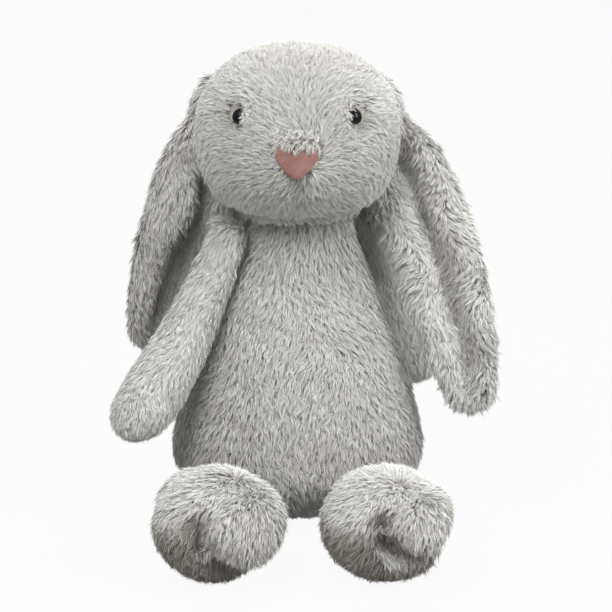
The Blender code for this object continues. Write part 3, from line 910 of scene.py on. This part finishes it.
@dataclass
class Tufts:
    """Tufts of hairs, each a slim leaf bent once along its length."""

    pile: Pile
    roots: Array
    normals: Array
    ways: Array
    share: Array
    rise: Array
    tone: Array
    rng: np.random.Generator

    def build(self, name: str, material: Material) -> Object:
        """Make the mesh of all hairs.

        Args:
            name: The piece's name.
            material: The pile.

        Returns:
            The piece.
        """
        rng, pile = self.rng, self.pile
        tufts = len(self.roots)
        size = (tufts, 1)
        length = pile.length * self.share[:, None] * rng.uniform(0.75, 1.2, size)
        lift = pile.lift * self.rise[:, None] * rng.uniform(0.65, 1.35, size)
        across = np.cross(self.normals, self.ways)
        lean = self.ways + across * rng.normal(0.0, 0.30, size)
        middle = self.roots + length * (self.normals * (0.66 * lift) + lean * 0.32)
        tip = middle + length * (self.normals * (0.22 * lift) + lean * 0.48)
        angle = rng.uniform(0.0, 2.0 * math.pi, (tufts, pile.per_tuft, 1))
        radius = pile.tuft * np.sqrt(rng.uniform(0.0, 1.0, (tufts, pile.per_tuft, 1)))
        offset = self.ways[:, None] * (radius * np.cos(angle)) + across[:, None] * (radius * np.sin(angle))
        stray = rng.normal(0.0, pile.length * 0.06, (tufts, pile.per_tuft, 3))
        a = (self.roots[:, None] + offset).reshape(-1, 3)
        b = (middle[:, None] + offset * 0.9 + stray * 0.4).reshape(-1, 3)
        c = (tip[:, None] + offset * 0.5 + stray).reshape(-1, 3)
        normals = np.repeat(self.normals, pile.per_tuft, axis=0)
        patches = wave_vectors(self.roots, 60.0, pile.seed + 7)[:, 0] * 0.05 + rng.normal(0.0, 0.07, tufts)
        tone = np.repeat(self.tone + pile.mottle * patches, pile.per_tuft)
        tone += rng.normal(0.0, 0.05 * pile.mottle, len(a))
        fleck = rng.uniform(0.0, 1.0, len(a)) < pile.flecks
        tone[fleck] = rng.uniform(0.0, 1.0, int(fleck.sum()))
        column = np.clip((tone * TONES).astype(int), 0, TONES - 1)
        return self.mesh(name, (a, b, c), normals, column, material)

    def mesh(
        self,
        name: str,
        curve: tuple[Array, Array, Array],
        normals: Array,
        column: Array,
        material: Material,
    ) -> Object:
        """Turn hairs into leaves of two triangles.

        Args:
            name: The piece's name.
            curve: Root, middle and tip of each hair.
            normals: Normals of the cloth under each hair.
            column: The tone column of each hair.
            material: The pile.

        Returns:
            The piece.
        """
        a, b, c = curve
        count = len(a)
        flat = unit(np.cross(c - a, normals))
        roll = self.rng.normal(0.0, 0.6, (count, 1))
        edge = flat * np.cos(roll) + normals * np.sin(roll)
        half = edge * (self.pile.width / 2.0 * self.rng.uniform(0.7, 1.3, (count, 1)))
        points = np.stack((a, b - half, b + half, c), axis=1).reshape(-1, 3)
        points[:, 2] = np.maximum(points[:, 2], HAIR_OFF_FLOOR)
        corners = (np.arange(count) * 4)[:, None] + np.array((0, 1, 2, 1, 3, 2))
        mesh = bpy.data.meshes.new(name)
        mesh.vertices.add(count * 4)
        mesh.vertices.foreach_set("co", points.astype(np.float32).ravel())
        mesh.loops.add(count * 6)
        mesh.loops.foreach_set("vertex_index", corners.astype(np.int32).ravel())
        mesh.polygons.add(count * 2)
        mesh.polygons.foreach_set("loop_start", np.arange(0, count * 6, 3, dtype=np.int32))
        low = (column + 0.15)[:, None] / TONES
        high = (column + 0.85)[:, None] / TONES
        mid = (low + high) / 2.0
        u = np.concatenate((mid, low, high, low, mid, high), axis=1)
        v = np.tile(np.array((self.pile.root_shade, 0.5, 0.5, 0.5, 0.99, 0.5)), (count, 1))
        layer = mesh.uv_layers.new(name=UV_NAME)
        layer.data.foreach_set("uv", np.stack((u, v), axis=2).astype(np.float32).ravel())
        mesh.materials.append(material)
        mesh.update(calc_edges=True)
        mesh.shade_smooth()
        LOG.info("%s has %d hairs", name, count)
        return add_object(name, mesh)


def smooth_step(values: Array) -> Array:
    """A smooth rise from 0 to 1.

    Args:
        values: Shares of the rise.

    Returns:
        The risen shares.
    """
    share = np.clip(values, 0.0, 1.0)
    return share * share * (3.0 - 2.0 * share)


def bell(values: Array) -> Array:
    """A bell curve.

    Args:
        values: Distances from its middle, as shares of its width.

    Returns:
        1 in the middle, falling to 0 on both sides.
    """
    return np.exp(-(values**2))


def distance(points: Array, spot: Array) -> Array:
    """How far points are from a spot.

    Args:
        points: Rows of points.
        spot: The spot.

    Returns:
        The distances.
    """
    return np.linalg.norm(points - np.array(spot), axis=1)


def move_points(mesh: Mesh, points: Array) -> None:
    """Give a mesh new points, none below the floor.

    Args:
        mesh: The mesh.
        points: Its points.
    """
    points[:, 2] = np.maximum(points[:, 2], CLOTH_OFF_FLOOR)
    mesh.vertices.foreach_set("co", points.astype(np.float32).ravel())
    mesh.update()


def add_object(name: str, data: ID) -> Object:
    """Put a new object at the origin of the scene.

    Args:
        name: Its name.
        data: Its mesh, light or camera.

    Returns:
        The object.
    """
    thing = bpy.data.objects.new(name, data)
    bpy.context.scene.collection.objects.link(thing)
    return thing


def select_only(thing: Object) -> None:
    """Make one object the only selected one, and active.

    Args:
        thing: The object.
    """
    bpy.ops.object.select_all(action="DESELECT")
    thing.select_set(True)
    bpy.context.view_layer.objects.active = thing


def soften_form(thing: Object, voxel: float, smoothing: int) -> None:
    """Turn a faceted form into an even, soft one.

    Args:
        thing: The object.
        voxel: The size of its new facets.
        smoothing: How many times it is smoothed.
    """
    select_only(thing)
    remesh = thing.modifiers.new("even", "REMESH")
    remesh.mode = "VOXEL"
    remesh.voxel_size = voxel
    soften = thing.modifiers.new("soften", "SMOOTH")
    soften.factor = 0.5
    soften.iterations = smoothing
    for modifier in (remesh, soften):
        bpy.ops.object.modifier_apply(modifier=modifier.name)


def fill_form(thing: Object, sewn: Array, reach: float) -> None:
    """Fill a sewn form by cloth simulation, with its seams held fast.

    Args:
        thing: The object, with an even mesh.
        sewn: True for the points that a seam holds.
        reach: How far a point may move.
    """
    select_only(thing)
    before, _ = surface_arrays(thing.data)
    seam = thing.vertex_groups.new(name="seam")
    seam.add(np.flatnonzero(sewn).tolist(), 1.0, "REPLACE")
    cloth = thing.modifiers.new("fill", "CLOTH")
    settings = cloth.settings
    settings.vertex_group_mass = seam.name
    settings.mass = KNIT_MASS
    settings.tension_stiffness = KNIT_STRETCH
    settings.compression_stiffness = KNIT_STRETCH
    settings.shear_stiffness = KNIT_STRETCH
    settings.bending_stiffness = KNIT_BEND
    settings.use_pressure = True
    settings.uniform_pressure_force = FILL_PRESSURE
    settings.effector_weights.gravity = 0.0
    cloth.point_cache.frame_start = 1
    cloth.point_cache.frame_end = FILL_FRAMES
    for number in range(1, FILL_FRAMES + 1):
        bpy.context.scene.frame_set(number)
    bpy.ops.object.modifier_apply(modifier=cloth.name)
    bpy.context.scene.frame_set(1)
    thing.vertex_groups.clear()
    moves = surface_arrays(thing.data)[0] - before
    length = np.linalg.norm(moves, axis=1, keepdims=True)
    LOG.info("%s swelled by up to %.4f m", thing.name, length.max())
    move_points(thing.data, before + moves * np.minimum(1.0, reach / np.maximum(length, 1e-9)))


def unit(vectors: Array) -> Array:
    """Scale vectors to length 1.

    Args:
        vectors: Rows of vectors.

    Returns:
        The unit vectors.
    """
    return vectors / np.maximum(np.linalg.norm(vectors, axis=1, keepdims=True), 1e-9)


def wave_vectors(points: Array, scale: float, seed: int) -> Array:
    """A smooth random vector for each point, from a few waves.

    Args:
        points: Rows of points.
        scale: Waves a metre.
        seed: The random seed.

    Returns:
        Vectors of about length 1.
    """
    rng = np.random.default_rng(seed)
    total = np.zeros((len(points), 3))
    for _ in range(6):
        way = rng.normal(0.0, 1.0, 3) * scale
        phase = rng.uniform(0.0, 2.0 * math.pi, 3)
        total += np.sin((points @ way)[:, None] * 2.0 + phase) * rng.normal(0.0, 0.5, 3)
    return total


def surface_arrays(mesh: Mesh) -> tuple[Array, Array]:
    """Read a mesh's points and vertex normals.

    Args:
        mesh: The mesh.

    Returns:
        Points and normals.
    """
    count = len(mesh.vertices)
    points = np.empty(count * 3, dtype=np.float32)
    normals = np.empty(count * 3, dtype=np.float32)
    mesh.vertices.foreach_get("co", points)
    mesh.vertex_normals.foreach_get("vector", normals)
    return points.reshape(-1, 3).astype(float), normals.reshape(-1, 3).astype(float)


def scatter(mesh: Mesh, count: int, rng: np.random.Generator) -> tuple[Array, Array]:
    """Spread points evenly over a mesh.

    Args:
        mesh: The mesh.
        count: How many points.
        rng: The random generator.

    Returns:
        Points and the smooth normals there.
    """
    points, normals = surface_arrays(mesh)
    mesh.calc_loop_triangles()
    corners = np.empty(len(mesh.loop_triangles) * 3, dtype=np.int32)
    mesh.loop_triangles.foreach_get("vertices", corners)
    corners = corners.reshape(-1, 3)
    a, b, c = (points[corners[:, k]] for k in range(3))
    area = np.linalg.norm(np.cross(b - a, c - a), axis=1)
    picks = (np.arange(count) + rng.uniform(0.0, 1.0, count)) / count
    chosen = np.minimum(np.searchsorted(np.cumsum(area) / area.sum(), picks), len(area) - 1)
    s = np.sqrt(rng.uniform(0.0, 1.0, (count, 1)))
    t = rng.uniform(0.0, 1.0, (count, 1))
    weights = (1.0 - s, s * (1.0 - t), s * t)
    place = sum(weight * points[corners[chosen, k]] for k, weight in enumerate(weights))
    normal = sum(weight * normals[corners[chosen, k]] for k, weight in enumerate(weights))
    return place, unit(normal)


def node_middle(node: str) -> Vector:
    """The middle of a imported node's box.

    Args:
        node: The node's name.

    Returns:
        The point.
    """
    low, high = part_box(node)
    return (Vector(low) + Vector(high)) / 2.0


@dataclass
class Nose:
    """The padded suede nose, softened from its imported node."""

    node: str = "nose"
    voxel: float = 0.0006
    smoothing: int = 14

    def build(self, material: Material) -> None:
        """Make the nose.

        Args:
            material: The suede.
        """
        bm = bmesh.new()
        bm.from_mesh(frame["nodes"][self.node].data)
        bmesh.ops.remove_doubles(bm, verts=bm.verts[:], dist=SAME_POINT)
        mesh = bpy.data.meshes.new("nose_suede")
        bm.to_mesh(mesh)
        bm.free()
        nose = add_object("nose_suede", mesh)
        soften_form(nose, self.voxel, self.smoothing)
        nose.data.shade_smooth()
        paint(nose, material)
        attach(nose, "head")
        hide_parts(self.node)


@dataclass(frozen=True)
class SideLook:
    """What differs between the two sides of the toy in the photograph, among them the painted light and shade
    on the ears.
    """

    ear_tone_and_painted_light: float
    ear_brushed: bool
    neck_swell: float
    shadow_width: float
    shadow_tone: float
    lobe_painted_light: float
    toe_lobe: tuple[float, float]
    toe_radius: float


# The right ear sits behind the arm: its tone is darker for painted shade, its roll casts a narrower painted
# shadow, and its inner lobe gets painted light.
SIDE_LOOKS = {
    Side.LEFT: SideLook(0.88, True, 0.0080, 0.016, 0.65, 0.0, (0.51, 0.22), 0.48),
    Side.RIGHT: SideLook(0.64, False, 0.0140, 0.007, 0.40, 0.34, (0.45, 0.10), 0.60),
}


class Rabbit:
    """The whole toy."""

    def __init__(self) -> None:
        short = {"length": 0.0078, "lift": 0.5, "width": 0.00046, "tuft": 0.0012}
        sleek = {"length": 0.0088, "tuft": 0.0015, "root_shade": 0.22, "mottle": 0.6}
        head_pile = Pile(190000, seed=11, tone=0.76, mottle=0.8, **short)
        torso_pile = Pile(190000, seed=12, tone=0.70, lift=0.38, **sleek)
        coats = {"halves": True, "brushed": True}
        torso_inside = ("torso_stuffing", "seat_pellet_bag")
        self.sections: list[Section] = [
            Head("head_plush", "head", "head_skin", ("head_stuffing",), head_pile, **coats),
            Torso("torso_plush", "torso", "torso_skin", torso_inside, torso_pile, fill=0.8, **coats),
            Section("tail_plush", "torso", "tail_skin", ("tail_stuffing",), Pile(20000, seed=13)),
        ]
        for seed, (side, look) in enumerate(SIDE_LOOKS.items(), start=20):
            ear, arm, leg = f"ear_{side.value}", f"arm_{side.value}", f"leg_{side.value}"
            ear_pile = Pile(96000, seed=seed, length=0.0094, lift=0.48, tone=look.ear_tone_and_painted_light)
            arm_pile = Pile(76000, seed=seed + 10, tone=0.84, lift=0.40, **sleek)
            leg_pile = Pile(98000, seed=seed + 20, length=0.0092, lift=0.50, tone=0.71)
            leg_inside = (f"{leg}_stuffing", f"foot_pellet_bag_{side.value}")
            self.sections += [
                Ear(
                    f"{ear}_plush",
                    ear,
                    f"{ear}_outer",
                    (f"{ear}_lining",),
                    ear_pile,
                    fill=0.3,
                    brushed=look.ear_brushed,
                    neck_swell=look.neck_swell,
                    shadow_width=look.shadow_width,
                    shadow_tone=look.shadow_tone,
                    lobe_painted_light=look.lobe_painted_light,
                ),
                Arm(f"{arm}_plush", arm, f"{arm}_skin", (f"{arm}_stuffing",), arm_pile, brushed=True),
                Leg(
                    f"{leg}_plush",
                    leg,
                    f"{leg}_skin",
                    leg_inside,
                    leg_pile,
                    voxel=0.0028,
                    lobe=look.toe_lobe,
                    lobe_radius=look.toe_radius,
                ),
            ]

    def dress(self) -> None:
        """Make every section, the eyes and the nose."""
        backing, pile, smooth = BACKING.build(), PILE.build(), SMOOTH_PILE.build()
        for section in self.sections:
            cloth = section.make_cloth(backing)
            section.make_fur(cloth, smooth if section.brushed else pile)
        bead, washer = BEAD.build(), WASHER.build()
        for side in Side:
            paint(frame["nodes"][f"eye_{side.value}"], bead)
            paint(frame["nodes"][f"eye_washer_{side.value}"], washer)
        Nose().build(NOSE.build())


def paint(thing: Object, material: Material) -> None:
    """Give an object one material.

    Args:
        thing: The object.
        material: The material.
    """
    if thing.material_slots:
        for slot in thing.material_slots:
            slot.material = material
    else:
        thing.data.materials.append(material)


@dataclass(frozen=True)
class Studio:
    """A white sweep, soft lamps and the camera of the photograph."""

    elevation: float = 15.0
    distance: float = 1.75
    lens_view: float = 13.26
    aim: tuple[float, float, float] = (0.0057, -0.030, 0.146)
    lamp_aim: tuple[float, float, float] = (0.0, -0.03, 0.15)
    picture: int = 612
    sweep: float = 0.95
    ambient: float = 0.41
    floor_size: float = 12.0
    floor_grey: float = 0.40

    def build(self) -> None:
        """Make the studio."""
        self.make_floor()
        self.make_lamps()
        self.make_camera()
        scene = bpy.context.scene
        scene.view_settings.view_transform = "Standard"
        scene.render.resolution_x = self.picture
        scene.render.resolution_y = self.picture

    def make_floor(self) -> None:
        """A plain white floor that the camera sees as a bright sweep with a faint shadow."""
        material, tree, shader = blank_material("studio_floor")
        grey = (self.floor_grey, self.floor_grey, self.floor_grey, 1.0)
        set_inputs(tree, shader, {"Base Color": grey, "Roughness": 0.9}, {})
        glow = add_node(tree, "Emission", {"Strength": 1.0}, {})
        rays = add_node(tree, "LightPath", {}, {})
        share = add_node(tree, "Math", {1: self.sweep}, {0: rays.outputs["Is Camera Ray"]})
        share.operation = "MULTIPLY"
        feeds = {"Fac": share.outputs["Value"], 1: shader.outputs["BSDF"], 2: glow.outputs["Emission"]}
        mixed = add_node(tree, "MixShader", {}, feeds)
        tree.links.new(mixed.outputs["Shader"], tree.nodes["Material Output"].inputs["Surface"])
        bpy.ops.mesh.primitive_plane_add(size=self.floor_size, location=(0.0, 0.0, 0.0))
        floor = bpy.context.object
        floor.name = "studio_floor"
        floor.data.materials.append(material)

    def make_lamps(self) -> None:
        """A broad key from the upper left, a fill from the right, a top lamp and light all round."""
        world = bpy.context.scene.world or bpy.data.worlds.new("studio")
        bpy.context.scene.world = world
        world.use_nodes = True
        tree = world.node_tree
        sky = tree.nodes["Background"]
        sky.inputs["Color"].default_value = (1.0, 1.0, 1.0, 1.0)
        rays = add_node(tree, "LightPath", {}, {})
        spread = {"To Min": self.ambient, "To Max": 1.0}
        seen = add_node(tree, "MapRange", spread, {"Value": rays.outputs["Is Camera Ray"]})
        tree.links.new(seen.outputs["Result"], sky.inputs["Strength"])
        lamps = (
            ("key", (-0.6, -1.2, 2.0), 1.3, 39.0),
            ("fill", (1.5, -0.9, 1.4), 1.2, 30.0),
            ("top", (0.0, 0.4, 2.0), 1.2, 14.0),
        )
        for name, place, size, power in lamps:
            light = bpy.data.lights.new(name, "AREA")
            light.size = size
            light.energy = power
            lamp = add_object(name, light)
            lamp.location = place
            lamp.rotation_euler = facing(lamp.location, self.lamp_aim)

    def make_camera(self) -> None:
        """The camera, a little above the toy and in front of it."""
        data = bpy.data.cameras.new("camera")
        data.angle = math.radians(self.lens_view)
        camera = add_object("camera", data)
        tilt = math.radians(self.elevation)
        camera.location = Vector(self.aim) + Vector((0.0, -math.cos(tilt), math.sin(tilt))) * self.distance
        camera.rotation_euler = facing(camera.location, self.aim)
        bpy.context.scene.camera = camera


def facing(place: Vector, aim: tuple[float, float, float]) -> Euler:
    """The turn of a lamp or a camera that looks at a point.

    Args:
        place: Where it stands.
        aim: The point.

    Returns:
        The rotation.
    """
    return (Vector(aim) - place).to_track_quat("-Z", "Y").to_euler()


def corners(bounds: tuple) -> list[list[float]]:
    """Plain numbers for a box.

    Args:
        bounds: Lowest and highest corner.

    Returns:
        The corners as lists.
    """
    return [[float(value) for value in corner] for corner in bounds]


def main() -> None:
    """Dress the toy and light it."""
    logging.basicConfig(level=logging.INFO)
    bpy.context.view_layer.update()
    Rabbit().dress()
    Studio().build()


if __name__ == "__main__":
    main()
